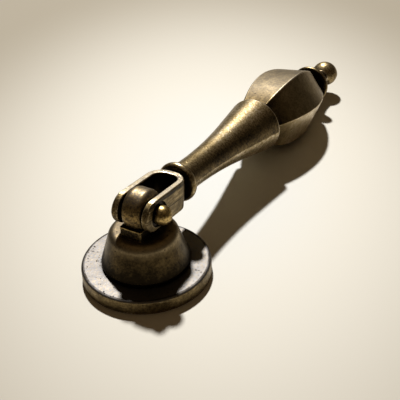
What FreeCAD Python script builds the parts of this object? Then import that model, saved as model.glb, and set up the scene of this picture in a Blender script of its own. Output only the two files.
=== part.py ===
import FreeCAD, Part
import math
import os

# Drop pull, in mm. The origin is the centre of the rose's flat back, +Z points away from the drawer front,
# the hinge lies along X, and the drop lies towards +Y with its bulb resting on the plane of the back.

# Rose
ROSE_RADIUS = 12.5
ROSE_THICKNESS = 2.85
ROSE_TOP_ROUND = 0.45
ROSE_BACK_ROUND = 0.2

# Boss
BOSS_FOOT_RADIUS = 8.5
BOSS_FOOT_HEIGHT = 0.85
BOSS_FOOT_ROUND = 0.3
BOSS_TAPER_DEG = 17.5
BOSS_SHOULDER_ROUND = 1.5
BOSS_TOP_Z = 10.36

# Eye post
SHANK_RADIUS = 2.9
SHANK_CLEARANCE = 0.05
BLOCK_DEPTH = 8.2
BLOCK_HEIGHT = 2.1
BLOCK_EDGE_ROUND = 0.25
DRUM_RADIUS = 4.05
DRUM_RIM_ROUND = 1.4
TAP_RADIUS = 1.65
TAP_DEPTH = 9.0
TAP_POINT_DEG = 118.0

# Hinge pin
PIN_RADIUS = 1.2
PIN_RUNNING_CLEARANCE = 0.06
PIN_SEAT_CLEARANCE = 0.02
PIN_HEAD_RADIUS = 1.88
PIN_HEAD_BRIM = 1.05
PIN_HEAD_HEIGHT = 2.9
PEEN_RADIUS = 1.75
PEEN_DEPTH = 0.5
PEEN_SINK = 0.1
PIN_Y = 0.0
PIN_Z = 14.8

# Clevis of the drop; stations along the drop are measured from the pin
CLEVIS_HALF_WIDTH = 4.02
STRAP_THICKNESS = 1.43
STRAP_HALF_HEIGHT = 3.04
STRAP_DRAFT = 0.14
STRAP_EDGE_ROUND = 0.28
ARM_OVERHANG = 1.0
CLEVIS_END = 11.1
CLEVIS_CORNER_RADIUS = 3.5
CLEVIS_SIDE_CLEARANCE = 0.27
HEAD_SEAT_MARGIN = 0.6
HEAD_SEAT_DEPTH = 0.3

# Neck, collar and trumpet stem
PARTING_OFFSET = 0.2
NECK_RADIUS = 2.4
COLLAR_STATION = 12.5
COLLAR_RADIUS = 4.3
COLLAR_HALF_WIDTH = 0.95
STEM_WAIST_STATION = 16.5
STEM_WAIST_RADIUS = 3.2
STEM_FLARE_RADIUS = 115.0
STEM_CONE_DEG = 9.0
RIM_STATION = 45.1
RIM_ROUND = 0.35
GROOVE_WIDTH = 0.6
GROOVE_RADIUS = 4.2

# Six-sided bulb, given across its flats
BULB_SIDES = 6
BULB_START_HALF = 4.75
BULB_CREST_HALF = 7.6
BULB_END_HALF = 3.43
BULB_CREST_STATION = 58.75
BULB_END_STATION = 72.3
BULB_RIDGE_ROUND = 0.35
BULB_TURN_DEG = 8.0

# Disc and ball finial
TIP_NECK_RADIUS = 2.5
DISC_STATION = 74.2
DISC_THICKNESS = 1.4
DISC_RADIUS = 4.8
FINIAL_NECK_STATION = 78.6
FINIAL_NECK_RADIUS = 1.9
FINIAL_NECK_FOOT_RADIUS = 2.5
BALL_STATION = 84.2
BALL_RADIUS = 3.25

# Derived sizes
INNER_HALF_GAP = CLEVIS_HALF_WIDTH - STRAP_THICKNESS
EYE_HALF_WIDTH = INNER_HALF_GAP - CLEVIS_SIDE_CLEARANCE
BULB_START_STATION = RIM_STATION + GROOVE_WIDTH
HEAD_SEAT_X = CLEVIS_HALF_WIDTH - STRAP_DRAFT - HEAD_SEAT_DEPTH
PEEN_X = PEEN_SINK - CLEVIS_HALF_WIDTH

V = FreeCAD.Vector
ORIGIN = V(0, 0, 0)
X_AXIS = V(1, 0, 0)
Y_AXIS = V(0, 1, 0)
Z_AXIS = V(0, 0, 1)
PIN_CENTRE = V(0, PIN_Y, PIN_Z)
REACH = 40.0


def bounded_face(place, start, steps):
    """Face inside a closed line; a step is an end point, or a pair of points for an arc (via, end)."""
    edges = []
    here = place(*start)
    for step in steps:
        if isinstance(step[0], tuple):
            via, end = (place(*point) for point in step)
            edges.append(Part.Arc(here, via, end).toShape())
        else:
            end = place(*step)
            edges.append(Part.makeLine(here, end))
        here = end
    edges.append(Part.makeLine(here, place(*start)))
    return Part.Face(Part.Wire(edges))


def corner_arc(centre, radius, start_deg, end_deg):
    """Via and end points of an arc about a centre."""
    angles = (math.radians((start_deg + end_deg) / 2), math.radians(end_deg))
    return tuple((centre[0] + radius * math.cos(a), centre[1] + radius * math.sin(a)) for a in angles)


def arc_radius(rise, run):
    """Radius of the arc that falls by rise over run, starting level."""
    return (rise**2 + run**2) / (2 * rise)


def turned_about_z(start, steps):
    """Solid turned about Z from a profile of (radius, height) points."""
    face = bounded_face(lambda r, z: V(r, 0, z), start, steps)
    return face.revolve(ORIGIN, Z_AXIS, 360)


def crosswise_cylinder(radius, half_length):
    """Cylinder along X, centred on the origin."""
    return Part.makeCylinder(radius, 2 * half_length, V(-half_length, 0, 0), X_AXIS)


def make_rose():
    bore = SHANK_RADIUS + SHANK_CLEARANCE
    back = (ROSE_RADIUS - ROSE_BACK_ROUND, ROSE_BACK_ROUND)
    top = (ROSE_RADIUS - ROSE_TOP_ROUND, ROSE_THICKNESS - ROSE_TOP_ROUND)
    return turned_about_z((bore, 0), [
        (back[0], 0),
        corner_arc(back, ROSE_BACK_ROUND, -90, 0),
        (ROSE_RADIUS, top[1]),
        corner_arc(top, ROSE_TOP_ROUND, 0, 90),
        (bore, ROSE_THICKNESS),
    ])


def make_boss():
    bore = SHANK_RADIUS + SHANK_CLEARANCE
    taper = math.radians(BOSS_TAPER_DEG)
    foot_top = ROSE_THICKNESS + BOSS_FOOT_HEIGHT
    foot = (BOSS_FOOT_RADIUS - BOSS_FOOT_ROUND, ROSE_THICKNESS + BOSS_FOOT_ROUND)
    shoulder_z = BOSS_TOP_Z - BOSS_SHOULDER_ROUND
    inset = (BOSS_SHOULDER_ROUND + (shoulder_z - foot_top) * math.sin(taper)) / math.cos(taper)
    shoulder = (BOSS_FOOT_RADIUS - inset, shoulder_z)
    cone_end = (
        shoulder[0] + BOSS_SHOULDER_ROUND * math.cos(taper),
        shoulder[1] + BOSS_SHOULDER_ROUND * math.sin(taper),
    )
    return turned_about_z((bore, ROSE_THICKNESS), [
        (foot[0], ROSE_THICKNESS),
        corner_arc(foot, BOSS_FOOT_ROUND, -90, 0),
        (BOSS_FOOT_RADIUS, foot_top),
        cone_end,
        corner_arc(shoulder, BOSS_SHOULDER_ROUND, BOSS_TAPER_DEG, 90),
        (bore, BOSS_TOP_Z),
    ])


def make_drum():
    drum = crosswise_cylinder(DRUM_RADIUS, EYE_HALF_WIDTH)
    rims = [edge for edge in drum.Edges if isinstance(edge.Curve, Part.Circle)]
    drum = drum.makeFillet(DRUM_RIM_ROUND, rims)
    drum.translate(PIN_CENTRE)
    return drum


def make_block():
    corner = V(-EYE_HALF_WIDTH, -BLOCK_DEPTH / 2, BOSS_TOP_Z)
    block = Part.makeBox(2 * EYE_HALF_WIDTH, BLOCK_DEPTH, BLOCK_HEIGHT, corner)
    upright = [edge for edge in block.Edges if abs(edge.tangentAt(edge.FirstParameter).z) > 0.9]
    return block.makeFillet(BLOCK_EDGE_ROUND, upright)


def make_tapped_hole():
    point = TAP_RADIUS / math.tan(math.radians(TAP_POINT_DEG / 2))
    wall = Part.makeCylinder(TAP_RADIUS, TAP_DEPTH)
    return wall.fuse(Part.makeCone(TAP_RADIUS, 0, point, V(0, 0, TAP_DEPTH)))


def make_eye_post():
    shank = Part.makeCylinder(SHANK_RADIUS, BOSS_TOP_Z)
    bore = crosswise_cylinder(PIN_RADIUS + PIN_RUNNING_CLEARANCE, REACH)
    bore.translate(PIN_CENTRE)
    post = shank.fuse([make_block(), make_drum()]).removeSplitter()
    return post.cut([bore, make_tapped_hole()])


def make_hinge_pin():
    """Rivet with a domed head on the right; its left end is peened into the arm."""
    dome_top = HEAD_SEAT_X + PIN_HEAD_HEIGHT
    brim_x = HEAD_SEAT_X + PIN_HEAD_BRIM
    cap_radius = arc_radius(dome_top - brim_x, PIN_HEAD_RADIUS)
    cap = (dome_top - cap_radius, 0)
    sweep = math.degrees(math.atan2(PIN_HEAD_RADIUS, brim_x - cap[0]))
    face = bounded_face(lambda x, r: V(x, 0, r), (PEEN_X, 0), [
        (PEEN_X, PEEN_RADIUS),
        (PEEN_X + PEEN_DEPTH, PIN_RADIUS),
        (HEAD_SEAT_X, PIN_RADIUS),
        (HEAD_SEAT_X, PIN_HEAD_RADIUS),
        (brim_x, PIN_HEAD_RADIUS),
        corner_arc(cap, cap_radius, sweep, 0),
    ])
    pin = face.revolve(ORIGIN, X_AXIS, 360)
    pin.translate(PIN_CENTRE)
    return pin


def u_wire(half_width, end, corner_radius, height):
    """Outline of a U seen from above, closed across its open end beyond the pin."""
    start = -REACH
    right = (half_width - corner_radius, end - corner_radius)
    left = (-right[0], right[1])
    face = bounded_face(lambda x, y: V(x, y, height), (half_width, start), [
        (half_width, right[1]),
        corner_arc(right, corner_radius, 0, 90),
        (left[0], end),
        corner_arc(left, corner_radius, 90, 180),
        (-half_width, start),
    ])
    return face.OuterWire


def make_arm_side():
    """Side view of the strap, round at the arm ends, as a bar across the whole clevis."""
    tail = (-ARM_OVERHANG, 0)
    face = bounded_face(lambda y, z: V(-REACH, y, z), (REACH, -STRAP_HALF_HEIGHT), [
        (REACH, STRAP_HALF_HEIGHT),
        (tail[0], STRAP_HALF_HEIGHT),
        corner_arc(tail, STRAP_HALF_HEIGHT, 90, 270),
    ])
    return face.extrude(2 * REACH * X_AXIS)


def on_strap_edge(edge):
    """True for an edge on the top, the underside or the round ends of the strap."""
    point = edge.valueAt((edge.FirstParameter + edge.LastParameter) / 2)
    flat = abs(abs(point.z) - STRAP_HALF_HEIGHT) < 1e-4
    tail = math.hypot(min(point.y + ARM_OVERHANG, 0), point.z)
    return flat or (point.y < -ARM_OVERHANG and abs(tail - STRAP_HALF_HEIGHT) < 1e-4)


def make_clevis():
    drafted = (CLEVIS_HALF_WIDTH - STRAP_DRAFT, CLEVIS_END - STRAP_DRAFT, CLEVIS_CORNER_RADIUS - STRAP_DRAFT)
    outer = Part.makeLoft([
        u_wire(CLEVIS_HALF_WIDTH, CLEVIS_END, CLEVIS_CORNER_RADIUS, 0),
        u_wire(*drafted, STRAP_HALF_HEIGHT),
    ], True, True)
    outer = outer.fuse(outer.mirror(ORIGIN, Z_AXIS))
    inner = u_wire(
        INNER_HALF_GAP,
        CLEVIS_END - STRAP_THICKNESS,
        CLEVIS_CORNER_RADIUS - STRAP_THICKNESS,
        -REACH,
    )
    gap = Part.Face(inner).extrude(2 * REACH * Z_AXIS)
    strap = outer.cut(gap).common(make_arm_side())
    strap = strap.makeFillet(STRAP_EDGE_ROUND, [edge for edge in strap.Edges if on_strap_edge(edge)])
    return strap.cut(make_pin_holes())


def make_pin_holes():
    """What the pin takes out of the arms: the hole, a flat recess round the head and a countersink."""
    shank = PIN_RADIUS + PIN_SEAT_CLEARANCE
    peened = PEEN_RADIUS + PIN_SEAT_CLEARANCE
    return [
        crosswise_cylinder(shank, REACH),
        Part.makeCylinder(PIN_HEAD_RADIUS + HEAD_SEAT_MARGIN, REACH, V(HEAD_SEAT_X, 0, 0), X_AXIS),
        Part.makeCone(shank, peened, PEEN_DEPTH, V(PEEN_X + PEEN_DEPTH, 0, 0), -X_AXIS),
        Part.makeCylinder(peened, REACH, V(PEEN_X, 0, 0), -X_AXIS),
    ]


def make_turned_half(start, steps):
    """Half of a cast round part above the parting plane, so that both halves meet in a faint crease."""
    face = bounded_face(lambda r, y: V(r, y, -PARTING_OFFSET), start, steps)
    body = face.revolve(V(0, 0, -PARTING_OFFSET), Y_AXIS, 360)
    return body.common(Part.makeBox(2 * REACH, 4 * REACH, REACH, V(-REACH, -REACH, 0)))


def make_stem():
    cone = math.radians(STEM_CONE_DEG)
    neck_start = CLEVIS_END - STRAP_THICKNESS / 2
    collar = (COLLAR_RADIUS - COLLAR_HALF_WIDTH, COLLAR_STATION)
    collar_end = COLLAR_STATION + COLLAR_HALF_WIDTH
    centre = (STEM_WAIST_RADIUS + STEM_FLARE_RADIUS, STEM_WAIST_STATION)
    stem_start = centre[0] - math.sqrt(STEM_FLARE_RADIUS**2 - (STEM_WAIST_STATION - collar_end) ** 2)
    start_deg = -math.degrees(math.asin((STEM_WAIST_STATION - collar_end) / STEM_FLARE_RADIUS))
    flare = corner_arc(centre, STEM_FLARE_RADIUS, 180 - start_deg, 180 - STEM_CONE_DEG)
    rim_radius = flare[1][0] + (RIM_STATION - flare[1][1]) * math.tan(cone)
    rim = (rim_radius - RIM_ROUND, RIM_STATION - RIM_ROUND)
    core_end = BULB_START_STATION + BULB_START_HALF
    return make_turned_half((0, neck_start), [
        (NECK_RADIUS, neck_start),
        (NECK_RADIUS, COLLAR_STATION - COLLAR_HALF_WIDTH),
        (collar[0], COLLAR_STATION - COLLAR_HALF_WIDTH),
        corner_arc(collar, COLLAR_HALF_WIDTH, -90, 90),
        (stem_start, collar_end),
        flare,
        (rim[0] + RIM_ROUND * math.cos(cone), rim[1] - RIM_ROUND * math.sin(cone)),
        corner_arc(rim, RIM_ROUND, -STEM_CONE_DEG, 90),
        (GROOVE_RADIUS, RIM_STATION),
        (GROOVE_RADIUS, BULB_START_STATION + GROOVE_WIDTH),
        (0, core_end),
    ])


def make_finial():
    disc_half = DISC_THICKNESS / 2
    disc = (DISC_RADIUS - disc_half, DISC_STATION + disc_half)
    disc_end = DISC_STATION + DISC_THICKNESS
    ball_deg = -math.degrees(math.acos(FINIAL_NECK_RADIUS / BALL_RADIUS))
    ball = (0, BALL_STATION)
    meet = BALL_STATION + BALL_RADIUS * math.sin(math.radians(ball_deg))
    return make_turned_half((0, BULB_END_STATION - BULB_END_HALF), [
        (TIP_NECK_RADIUS, BULB_END_STATION - TIP_NECK_RADIUS / 2),
        (TIP_NECK_RADIUS, DISC_STATION),
        (disc[0], DISC_STATION),
        corner_arc(disc, disc_half, -90, 90),
        (FINIAL_NECK_FOOT_RADIUS, disc_end),
        ((FINIAL_NECK_RADIUS, FINIAL_NECK_STATION), (FINIAL_NECK_RADIUS, meet)),
        corner_arc(ball, BALL_RADIUS, ball_deg, 90),
    ])


def bulb_arcs():
    """Radii of the two arcs that meet level at the crest of a flat: towards the stem, towards the tip."""
    stem_run = BULB_CREST_STATION - BULB_START_STATION
    tip_run = BULB_END_STATION - BULB_CREST_STATION
    stem_radius = arc_radius(BULB_CREST_HALF - BULB_START_HALF, stem_run)
    return stem_radius, arc_radius(BULB_CREST_HALF - BULB_END_HALF, tip_run)


def make_bulb():
    """Common part of three bars, each with the side view of the bulb, turned about the axis of the drop."""
    stem_radius, tip_radius = bulb_arcs()
    stem_deg = math.degrees(math.asin((BULB_CREST_STATION - BULB_START_STATION) / stem_radius))
    tip_deg = math.degrees(math.asin((BULB_END_STATION - BULB_CREST_STATION) / tip_radius))
    stem_low = (BULB_CREST_STATION, stem_radius - BULB_CREST_HALF)
    stem_high = (BULB_CREST_STATION, BULB_CREST_HALF - stem_radius)
    tip_low = (BULB_CREST_STATION, tip_radius - BULB_CREST_HALF)
    tip_high = (BULB_CREST_STATION, BULB_CREST_HALF - tip_radius)
    face = bounded_face(lambda y, z: V(-REACH, y, z), (BULB_START_STATION, -BULB_START_HALF), [
        corner_arc(stem_low, stem_radius, 270 - stem_deg, 270),
        corner_arc(tip_low, tip_radius, 270, 270 + tip_deg),
        (BULB_END_STATION, BULB_END_HALF),
        corner_arc(tip_high, tip_radius, 90 - tip_deg, 90),
        corner_arc(stem_high, stem_radius, 90, 90 + stem_deg),
    ])
    bulb = face.extrude(2 * REACH * X_AXIS)
    bar = bulb.copy()
    turn = 360 / BULB_SIDES
    for _ in range(BULB_SIDES // 2 - 1):
        bar.rotate(ORIGIN, Y_AXIS, turn)
        bulb = bulb.common(bar)
    ridges = [edge for edge in bulb.Edges if abs(edge.Vertexes[0].Y - edge.Vertexes[-1].Y) > BULB_RIDGE_ROUND]
    bulb = bulb.makeFillet(BULB_RIDGE_ROUND, ridges)
    bulb.rotate(ORIGIN, Y_AXIS, -BULB_TURN_DEG)
    return bulb


def resting_droop():
    """Angle below level at which the lowest ridge of the bulb meets the plane of the back."""
    tip_radius = bulb_arcs()[1]
    half_side = math.pi / BULB_SIDES
    ridge = math.cos(half_side - math.radians(BULB_TURN_DEG)) / math.cos(half_side)
    droop = 0.0
    for _ in range(30):
        centre_down = ridge * (BULB_CREST_HALF - tip_radius) * math.cos(droop)
        arc_down = tip_radius * math.hypot(math.sin(droop), ridge * math.cos(droop))
        droop = math.asin((PIN_Z - centre_down - arc_down) / BULB_CREST_STATION)
    return math.degrees(droop)


def make_drop():
    halves = [make_stem(), make_finial()]
    halves += [half.mirror(ORIGIN, Z_AXIS) for half in halves]
    drop = make_clevis().fuse(halves + [make_bulb()]).removeSplitter()
    drop.rotate(ORIGIN, X_AXIS, -resting_droop())
    drop.translate(PIN_CENTRE)
    return drop


os.makedirs("parts", exist_ok=True)
make_rose().exportStep("parts/rose.step")
make_boss().exportStep("parts/boss.step")
make_eye_post().exportStep("parts/eye_post.step")
make_hinge_pin().exportStep("parts/hinge_pin.step")
make_drop().exportStep("parts/drop.step")
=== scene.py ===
import math

import bpy
from mathutils import Matrix, Vector

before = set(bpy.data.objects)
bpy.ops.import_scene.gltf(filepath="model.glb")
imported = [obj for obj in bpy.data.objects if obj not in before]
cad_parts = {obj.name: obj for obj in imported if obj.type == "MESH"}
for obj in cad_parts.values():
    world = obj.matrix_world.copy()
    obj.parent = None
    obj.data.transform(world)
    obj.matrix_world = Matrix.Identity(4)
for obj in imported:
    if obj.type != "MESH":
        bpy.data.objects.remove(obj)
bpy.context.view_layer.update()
bpy.ops.object.select_all(action="DESELECT")

MM = 0.001

# Camera, fitted to the photograph's frame
IMAGE_SIDE = 400
FOCAL_PX = 850.0
SENSOR_MM = 36.0
VIEW_AZIMUTH = math.radians(32.241)
VIEW_ELEVATION = math.radians(34.324)
VIEW_ROLL = math.radians(-2.804)
ORIGIN_PX = (147.419, 271.155)
ORIGIN_DEPTH = 164.49 * MM
NEAREST_SEEN = 10 * MM

# One small lamp high behind the left of the pull, in a dim warm room
LIGHT_TARGET = Vector((0.0, 35 * MM, 5 * MM))
KEY_DIRECTION = Vector((-0.372, 0.474, 0.798)).normalized()
KEY_DISTANCE = 1.8
KEY_SIZE = 0.12
KEY_POWER = 41.0
KEY_COLOUR = (1.0, 0.97, 0.92)
ROOM_COLOUR = (1.0, 0.665, 0.345, 1)
ROOM_LIGHT = 0.02
CEILING_LIGHT = 0.077
CEILING_FALL = 1.5

# Paper floor with a painted pool of light: whitest and coolest under the drop, darker and warmer away from
# it
FLOOR_SIDE = 12.0
FLOOR_MIDDLE = (-6 * MM, 37 * MM, 0)
FLOOR_REACH = (65 * MM, 102 * MM, 1)
FLOOR_MIDDLE_COLOUR = (0.85, 0.872, 0.868, 1)
FLOOR_COLOUR = (0.865, 0.845, 0.772, 1)
FLOOR_EDGE_COLOUR = (0.40, 0.36, 0.285, 1)

# Brass from rubbed bright to black, and the grey that tints the painted highlights and reflections of some
# faces
GOLD = (0.80, 0.71, 0.56, 1)
STRAW = (0.42, 0.325, 0.175, 1)
OLIVE = (0.19, 0.138, 0.062, 1)
UMBER = (0.085, 0.060, 0.027, 1)
SOOT = (0.022, 0.016, 0.009, 1)
PALE_SHEEN_TONE = (0.116, 0.115, 0.119, 1)
BRIGHT_BRASS = (GOLD, STRAW, OLIVE, UMBER)
BROWN_BRASS = (STRAW, OLIVE, UMBER, SOOT)
YELLOW_BRASS = ((0.66, 0.48, 0.20, 1), (0.42, 0.30, 0.115, 1), (0.22, 0.15, 0.06, 1), UMBER)
TONE_STOPS = (0.0, 0.3, 0.58, 0.82, 1.0)

# Grain of the castings, as waves per metre, and the reach of edge wear and of the recess darkening (patina
# and painted shade)
CLOUDS = 180
MOTTLE = 650
PITS = 2000
GRAIN = 2300
SPECKLE = 2400
SCRATCHES = 3600
WORN_EDGE = 0.4 * MM
RECESS_REACH = 4 * MM
GRAIN_DEPTH = 0.05 * MM

# The drop's own axis, as it lies at rest
PIN = (0.0, 0.0, 14.8 * MM)
DROOP = math.radians(6.42)
BULB_TURN = math.radians(8)

# Stretches of the drop along its axis, measured from the pin
NECK = (11.1 * MM, 11.6 * MM)
BEAD = (12.1 * MM, 12.9 * MM)
STEM_ROOT = (13.35 * MM, 13.7 * MM)
STEM = (14 * MM, 45 * MM)
STEM_RIM = (44.7 * MM, 45.15 * MM)
GROOVE = (45.3 * MM, 45.9 * MM)
BULB = (46 * MM, 72 * MM)
BULB_TAIL = (72.2 * MM, 74.2 * MM)
FINIAL_NECK = (75.6 * MM, 81 * MM)
BALL = (81 * MM, 82 * MM)

# The clevis: depth of its slot, its end, and its straps across and above the axis
SLOT_END = 9.75 * MM
CLEVIS_END = 11.3 * MM
STRAP_INSIDE = 2.64 * MM
STRAP_CHEEK = (3.3 * MM, 3.5 * MM)
STRAP_LIP = (3.72 * MM, 4.1 * MM)
STRAP_TOP = 2.85 * MM


class Value:
    """A shader socket that takes part in arithmetic; each operation adds one Math node."""

    def __init__(self, finish, socket):
        self.finish = finish
        self.socket = socket

    def maths(self, operation, first, second):
        return self.finish.node("ShaderNodeMath", {"operation": operation}, {0: first, 1: second})

    def __add__(self, other):
        return self.maths("ADD", self, other)

    def __radd__(self, other):
        return self.maths("ADD", other, self)

    def __sub__(self, other):
        return self.maths("SUBTRACT", self, other)

    def __rsub__(self, other):
        return self.maths("SUBTRACT", other, self)

    def __neg__(self):
        return self.maths("SUBTRACT", 0.0, self)

    def __mul__(self, other):
        return self.maths("MULTIPLY", self, other)

    def __rmul__(self, other):
        return self.maths("MULTIPLY", other, self)

    def __truediv__(self, other):
        return self.maths("DIVIDE", self, other)

    def __rtruediv__(self, other):
        return self.maths("DIVIDE", other, self)

    def __pow__(self, other):
        return self.maths("POWER", self, other)

    def __rpow__(self, other):
        return self.maths("POWER", other, self)

    def __abs__(self):
        return self.maths("ABSOLUTE", self, 0.0)


class Finish:
    """A node tree of a material or the world, built node by node."""

    def __init__(self, owner):
        owner.use_nodes = True
        self.tree = owner.node_tree
        self.tree.nodes.clear()

    def node(self, kind, settings=None, sockets=None, output=0):
        node = self.tree.nodes.new(kind)
        for name, value in (settings or {}).items():
            if name == "stops":
                self.set_stops(node.color_ramp, value)
            else:
                setattr(node, name, value)
        for name, value in (sockets or {}).items():
            if isinstance(value, Value):
                self.tree.links.new(value.socket, node.inputs[name])
            else:
                node.inputs[name].default_value = value
        return Value(self, node.outputs[output]) if node.outputs else None

    def set_stops(self, ramp, stops):
        while len(ramp.elements) > 1:
            ramp.elements.remove(ramp.elements[-1])
        ramp.elements[0].position, ramp.elements[0].color = stops[0]
        for position, colour in stops[1:]:
            ramp.elements.new(position).color = colour

    def coordinates(self):
        return self.node("ShaderNodeTexCoord", output="Object")

    def placed(self, location, rotation, scale=(1, 1, 1)):
        """Object coordinates read in a frame of their own."""
        return self.node("ShaderNodeMapping", {"vector_type": "TEXTURE"}, {
            "Vector": self.coordinates(),
            "Location": location,
            "Rotation": rotation,
            "Scale": scale,
        })

    def parts_of(self, vector):
        return [self.node("ShaderNodeSeparateXYZ", {}, {0: vector}, output=axis) for axis in "XYZ"]

    def noise(self, vector, scale, detail, roughness, distortion=0.0):
        return self.node("ShaderNodeTexNoise", {}, {
            "Vector": vector,
            "Scale": scale,
            "Detail": detail,
            "Roughness": roughness,
            "Distortion": distortion,
        })

    def between(self, value, low, high):
        """0 at low, 1 at high, eased and held outside."""
        return self.node("ShaderNodeMapRange", {"interpolation_type": "SMOOTHSTEP"}, {
            "Value": value,
            "From Min": low,
            "From Max": high,
        })

    def band(self, value, low, high, soft):
        """1 from low to high, fading to 0 over soft outside."""
        middle, half = (low + high) / 2, (high - low) / 2
        return self.between(half + soft - abs(value - middle), 0, soft)

    def mix(self, factor, first, second):
        return self.node("ShaderNodeMix", {"data_type": "RGBA"}, {0: factor, 6: first, 7: second}, output=2)

    def vector_maths(self, operation, *vectors):
        """A number made from vectors, such as a length."""
        return self.node("ShaderNodeVectorMath", {"operation": operation}, dict(enumerate(vectors)), "Value")

    def wear_on_edges(self, radius):
        """1 along sharp and rounded edges, 0 on open faces."""
        rounded = self.node("ShaderNodeBevel", {"samples": 6}, {"Radius": radius})
        plain = self.node("ShaderNodeNewGeometry", output="Normal")
        return self.between(1 - self.vector_maths("DOT_PRODUCT", rounded, plain), 0.004, 0.05)

    def crevices(self, distance):
        """1 deep in corners and recesses, 0 in the open."""
        open_sky = self.node("ShaderNodeAmbientOcclusion", {"samples": 6}, {"Distance": distance}, "AO")
        return self.between(1 - open_sky, 0.25, 0.85)


def rose_marks(finish):
    """Painted shade: a dark ring inside the rim and darkening round the boss's foot; the top is greyer than
    the brown side, a painted tint for the lamp's pale reflection.
    """
    x, y, z = finish.parts_of(finish.coordinates())
    radius = (x * x + y * y) ** 0.5
    # painted shade: the ring stands for the rim's rounding reflecting the dark room
    ring = finish.band(radius, 11.9 * MM, 12.15 * MM, 0.15 * MM)
    # painted shade round the boss's foot, where the boss and the drop cast shadow
    foot = finish.between(9.6 * MM - radius, 0, 1.2 * MM)
    top = finish.between(z, 2.5 * MM, 2.75 * MM)
    # the top's grey is a painted tint for the lamp's pale reflection
    return {"dark": ring * 0.5 + foot * 0.4, "smooth": top * 0.7, "sheen_grey": top * 0.95}


def boss_marks(finish):
    """Painted shade darkens it towards the foot; the shoulder gets painted light, more so on the side of the
    rivet's head where the drop's shadow falls, and a grey painted highlight tint.
    """
    x, y, z = finish.parts_of(finish.coordinates())
    # painted shade: darker towards the foot, for the shade reflected there
    foot = finish.between(7 * MM - z, 0, 4 * MM)
    top = finish.between(z, 7.6 * MM, 9.8 * MM)
    # painted light lifting the drop's shadow on the shoulder, strongest on the rivet's side
    painted_shoulder_light = top * (0.22 + 0.4 * finish.between(x, -4 * MM, 0))
    return {"dark": foot * 0.25, "wear_and_painted_light": painted_shoulder_light, "matt": top * 0.14, "sheen_grey": top * 0.3}


def eye_marks(finish):
    """Painted shade under the drum and on the block; a painted highlight, lightened and greyed, along the
    drum's crown.
    """
    x, y, z = finish.parts_of(finish.coordinates())
    # painted shade under the drum
    under = finish.between(12.9 * MM - z, 0, 0.9 * MM)
    # painted highlight along the drum's crown
    crown = finish.between(z, 16.2 * MM, 18.2 * MM)
    return {"dark": under * 0.3, "wear_and_painted_light": crown * 0.25, "sheen_grey": crown * 0.6}


def pin_marks(finish):
    """Head rubbed bright, dark at its foot."""
    x, y, z = finish.parts_of(finish.coordinates())
    foot = finish.between(4.3 * MM - x, 0, 0.4 * MM)
    crown = finish.between(x, 4.6 * MM, 6 * MM)
    return {"dark": foot * 0.6, "wear_and_painted_light": crown * 0.1}


def clevis_marks(finish, across, along, above):
    """Painted shade blackens the slot; a dark ring round the rivet, pale tops that are rubbed and carry a
    painted highlight, scratched cheeks with a parting crease.
    """
    aside = abs(across)
    from_pin = (along * along + above * above) ** 0.5
    clevis = finish.between(CLEVIS_END - along, 0, 0.3 * MM)
    slot = finish.between(SLOT_END - along, 0, 0.05 * MM)
    walls = slot * finish.between(STRAP_INSIDE - aside, 0, 0.04 * MM)
    # painted shade: the slot's inner walls are blackened where only shade falls
    painted_slot_shade = walls * finish.between(STRAP_TOP - abs(above), 0, 0.15 * MM)
    # pale tops: partly wear, partly a painted highlight of the lamp
    top = finish.between(above, STRAP_TOP, 2.98 * MM) * clevis
    lip = finish.band(aside, *STRAP_LIP, 0.1 * MM) * finish.between(above, 1.9 * MM, 2.4 * MM) * clevis
    cheek = finish.between(aside, *STRAP_CHEEK) * clevis
    crease = finish.band(above, -0.04 * MM, 0.04 * MM, 0.08 * MM) * cheek
    ring = finish.between(2.75 * MM - from_pin, 0, 0.35 * MM) * cheek
    heel = finish.between(from_pin, 2.6 * MM, 2.9 * MM) * finish.between(0.5 * MM - along, 0, 2 * MM)
    scratches = finish.noise(finish.placed(PIN, (-DROOP, 0, 0), (1, 9, 1)), SCRATCHES, 2.0, 0.6)
    scratched = cheek * (0.06 + (scratches - 0.5) * 0.9)
    return {
        "dark": painted_slot_shade + ring + heel * 0.12 + scratched + crease * 0.35 + lip * 0.4,
        "wear_and_painted_light": top * 0.5,
        "matt": heel * 0.14,
        "smooth": cheek * 0.7,
    }


def stem_marks(finish, along, lift):
    """Painted shade darkens the neck, the root and the flanks above the parting line; a painted highlight
    lightens the crown streak and a painted floor reflection the underside; bead and rim are rubbed.
    """
    # painted shade in the neck and at the root, between clevis, bead and stem
    neck = finish.band(along, *NECK, 0.2 * MM)
    bead = finish.band(along, *BEAD, 0.4 * MM)
    root = finish.band(along, *STEM_ROOT, 0.5 * MM)
    stem = finish.band(along, *STEM, 0.4 * MM)
    # painted shade: the flank above the parting line stands for the dark room and the drop's shadow
    # reflected there
    painted_dark_flank = finish.band(lift, 0.06, 0.5, 0.3) * finish.between(lift, 0, 0.03) * stem
    # painted reflection of the lit floor on the underside
    under = finish.between(-lift, 0, 0.03) * stem
    # painted highlight along the crown
    painted_highlight_streak = finish.between(lift, 0.7, 0.95) * finish.between(along, 12 * MM, 36 * MM) * stem
    rim = finish.band(along, *STEM_RIM, 0.1 * MM)
    return {
        "dark": neck * 0.55 + root * 0.3 + painted_dark_flank * 0.24,
        "wear_and_painted_light": painted_highlight_streak * 0.22 + under * 0.22 + bead * 0.15 + rim * 0.5,
        "smooth": painted_dark_flank * 0.4,
    }


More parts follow.
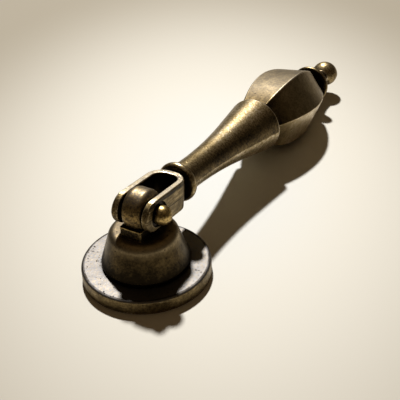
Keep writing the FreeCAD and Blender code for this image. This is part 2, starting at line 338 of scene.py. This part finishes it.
def bulb_marks(finish, along, facet):
    """Dark in the groove; painted shade at both ends and between bulb, disc and ball; rubbed ridges; painted
    floor light on the lower facets; a grey painted highlight tint on the upper facet.
    """
    groove = finish.band(along, *GROOVE, 0.25 * MM)
    # painted shade near the bulb's rim end, holding back the highlight there
    shade = finish.between(52 * MM - along, 0, 6 * MM) * finish.between(along, 45.5 * MM, 45.7 * MM)
    bulb = finish.band(along, *BULB, 0.5 * MM)
    crown = finish.between(facet, 0.85, 0.88) * bulb
    # painted light: the lower facets lightened for the floor's reflected light
    painted_keel_light = finish.between(-facet, 0.01, 0.04) * bulb
    ridges = finish.band(facet, 0.86, 0.872, 0.012) + finish.band(facet, -0.006, 0.006, 0.012)
    # painted shade in the tail and the finial's neck, between bulb, disc and ball
    tail = finish.band(along, *BULB_TAIL, 0.4 * MM)
    finial = finish.band(along, *FINIAL_NECK, 0.8 * MM)
    ball = finish.between(along, *BALL)
    return {
        "dark": groove * 0.8 + shade * 0.3 + tail * 0.8 + finial * 0.3,
        "wear_and_painted_light": painted_keel_light * 0.3 + ridges * bulb * 0.4,
        "matt": crown * 0.14 + ball * 0.06,
        "smooth": bulb * 0.7,
        "sheen_grey": crown * 0.5 * (1 - shade),
    }


def drop_marks(finish):
    """The marks of clevis, stem and bulb together, read along the drop's own axis."""
    across, along, above = finish.parts_of(finish.placed(PIN, (-DROOP, 0, 0)))
    from_axis = (across * across + above * above) ** 0.5
    facet = (above * math.cos(BULB_TURN) - across * math.sin(BULB_TURN)) / from_axis
    marked = clevis_marks(finish, across, along, above)
    for more in (stem_marks(finish, along, above / from_axis), bulb_marks(finish, along, facet)):
        for mark, amount in more.items():
            marked[mark] = marked.get(mark, 0.0) + amount
    return marked


def brass_colour(finish, tones, cover, sheen_grey, pitted):
    """The tone for each depth of patina, tinted grey on some faces as a painted highlight and reflection
    tint, black in the pits.
    """
    stops = list(zip(TONE_STOPS, (*tones, SOOT)))
    colour = finish.node("ShaderNodeValToRGB", {"stops": stops}, {"Fac": cover})
    # painted highlight tint: grey mixed in where the marks call for it
    colour = finish.mix(sheen_grey * finish.between(1.3 - cover, 0, 0.4), colour, PALE_SHEEN_TONE)
    return finish.mix(pitted, colour, SOOT)


def cast_brass(name, tones, marks, patina, roughness, speckled, pits):
    """Cast brass with a brown patina, bright on worn edges, dark in recesses from patina and painted shade,
    with the marks' painted light and shade, pitted and finely grained.
    """
    material = bpy.data.materials.new(name)
    finish = Finish(material)
    marked = {"dark": 0.0, "wear_and_painted_light": 0.0, "matt": 0.0, "smooth": 0.0, "sheen_grey": 0.0, **marks(finish)}
    place = finish.coordinates()
    clouds = finish.noise(place, CLOUDS, 3.0, 0.55) - 0.5
    mottle = finish.noise(place, MOTTLE, 3.0, 0.6) - 0.5
    speckle = finish.between(finish.noise(place, SPECKLE, 2.0, 0.6, 0.4), 0.36, 0.64)
    pitted = finish.between(finish.noise(place, PITS, 1.0, 0.5), 0.66, 0.78) * pits
    uneven = 1 - marked["smooth"]
    cover = patina + clouds * 0.5 + mottle * 0.5 + (speckle - 0.5) * speckled * uneven
    # patina in recesses, and painted shade where shade falls in them; the marks add more painted shade
    cover = cover + finish.crevices(RECESS_REACH) * 0.5 + marked["dark"]
    # worn edges, and the marks' wear and painted light
    cover = cover - finish.wear_on_edges(WORN_EDGE) * 0.6 - marked["wear_and_painted_light"]
    waves = mottle * uneven
    relief = finish.noise(place, GRAIN, 2.0, 0.6) * 0.5 + waves * 0.5 - pitted * 0.8
    shader = finish.node("ShaderNodeBsdfPrincipled", {}, {
        "Base Color": brass_colour(finish, tones, cover, marked["sheen_grey"] * (0.72 + speckle * 0.28), pitted),
        "Metallic": 1.0,
        "Roughness": roughness + marked["matt"] + (cover - 0.5) * 0.1 + waves * 0.2 + pitted * 0.2,
        "Normal": finish.node("ShaderNodeBump", {}, {
            "Strength": 0.8,
            "Distance": GRAIN_DEPTH,
            "Height": relief,
        }),
    })
    finish.node("ShaderNodeOutputMaterial", {}, {"Surface": shader})
    return material


def dress_nodes():
    looks = {
        "rose": cast_brass("rose_brass", BRIGHT_BRASS, rose_marks,
                           patina=0.64, roughness=0.45, speckled=0.2, pits=0.9),
        "boss": cast_brass("boss_brass", BROWN_BRASS, boss_marks,
                           patina=0.65, roughness=0.36, speckled=0.12, pits=0.8),
        "eye_post": cast_brass("eye_brass", YELLOW_BRASS, eye_marks,
                               patina=0.68, roughness=0.44, speckled=0.36, pits=0.5),
        "hinge_pin": cast_brass("pin_brass", YELLOW_BRASS, pin_marks,
                                patina=0.38, roughness=0.38, speckled=0.5, pits=0.4),
        "drop": cast_brass("drop_brass", BRIGHT_BRASS, drop_marks,
                           patina=0.54, roughness=0.36, speckled=0.34, pits=0.5),
    }
    for node, material in looks.items():
        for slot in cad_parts[node].material_slots:
            slot.material = material


def paper():
    """Paper with a painted pool of light: it turns from white to cream, and darkens with distance from the
    drop.
    """
    material = bpy.data.materials.new("paper_floor")
    finish = Finish(material)
    away = finish.vector_maths("LENGTH", finish.placed(FLOOR_MIDDLE, (0, 0, VIEW_AZIMUTH), FLOOR_REACH))
    # painted pool of light: whiter and cooler in the middle, darker and warmer outward
    colour = finish.mix(finish.between(away, 0.05, 0.5), FLOOR_MIDDLE_COLOUR, FLOOR_COLOUR)
    shader = finish.node("ShaderNodeBsdfPrincipled", {}, {
        "Base Color": finish.mix(finish.between(away, 0.3, 1.3), colour, FLOOR_EDGE_COLOUR),
        "Roughness": 0.6,
        "Specular IOR Level": 0.2,
    })
    finish.node("ShaderNodeOutputMaterial", {}, {"Surface": shader})
    return material


def lay_floor():
    bpy.ops.mesh.primitive_plane_add(size=FLOOR_SIDE, location=(0, 0, 0))
    floor = bpy.context.object
    floor.name = "floor"
    floor.data.materials.append(paper())


def hang_key_light():
    light = bpy.data.lights.new("key", "AREA")
    light.shape = "DISK"
    light.size = KEY_SIZE
    light.energy = KEY_POWER
    light.color = KEY_COLOUR
    lamp = bpy.data.objects.new("key", light)
    bpy.context.collection.objects.link(lamp)
    lamp.location = LIGHT_TARGET + KEY_DIRECTION * KEY_DISTANCE
    lamp.rotation_euler = KEY_DIRECTION.to_track_quat("Z", "Y").to_euler()


def set_room():
    """A dim room, lighter towards the ceiling."""
    world = bpy.data.worlds.new("dim_room")
    bpy.context.scene.world = world
    finish = Finish(world)
    x, y, height = finish.parts_of(finish.node("ShaderNodeTexCoord", output="Generated"))
    strength = ROOM_LIGHT + CEILING_LIGHT * finish.between(height, 0, 1) ** CEILING_FALL
    shader = finish.node("ShaderNodeBackground", {}, {"Color": ROOM_COLOUR, "Strength": strength})
    finish.node("ShaderNodeOutputWorld", {}, {"Surface": shader})


def camera_place():
    """The camera's turn and place, from which the origin falls on its pixel at its depth."""
    back = Vector((
        math.sin(VIEW_AZIMUTH) * math.cos(VIEW_ELEVATION),
        -math.cos(VIEW_AZIMUTH) * math.cos(VIEW_ELEVATION),
        math.sin(VIEW_ELEVATION),
    ))
    level_right = Vector((math.cos(VIEW_AZIMUTH), math.sin(VIEW_AZIMUTH), 0))
    level_up = back.cross(level_right)
    right = math.cos(VIEW_ROLL) * level_right + math.sin(VIEW_ROLL) * level_up
    up = math.cos(VIEW_ROLL) * level_up - math.sin(VIEW_ROLL) * level_right
    aside, below = ((pixel - IMAGE_SIDE / 2) / FOCAL_PX * ORIGIN_DEPTH for pixel in ORIGIN_PX)
    place = Matrix((right, up, back)).transposed().to_4x4()
    place.translation = back * ORIGIN_DEPTH - right * aside + up * below
    return place


def set_camera():
    camera = bpy.data.cameras.new("photo_view")
    camera.sensor_width = SENSOR_MM
    camera.lens = FOCAL_PX / IMAGE_SIDE * SENSOR_MM
    camera.clip_start = NEAREST_SEEN
    holder = bpy.data.objects.new("photo_view", camera)
    bpy.context.collection.objects.link(holder)
    holder.matrix_world = camera_place()
    bpy.context.scene.camera = holder


dress_nodes()
lay_floor()
hang_key_light()
set_room()
set_camera()
bpy.context.scene.view_settings.view_transform = "Standard"
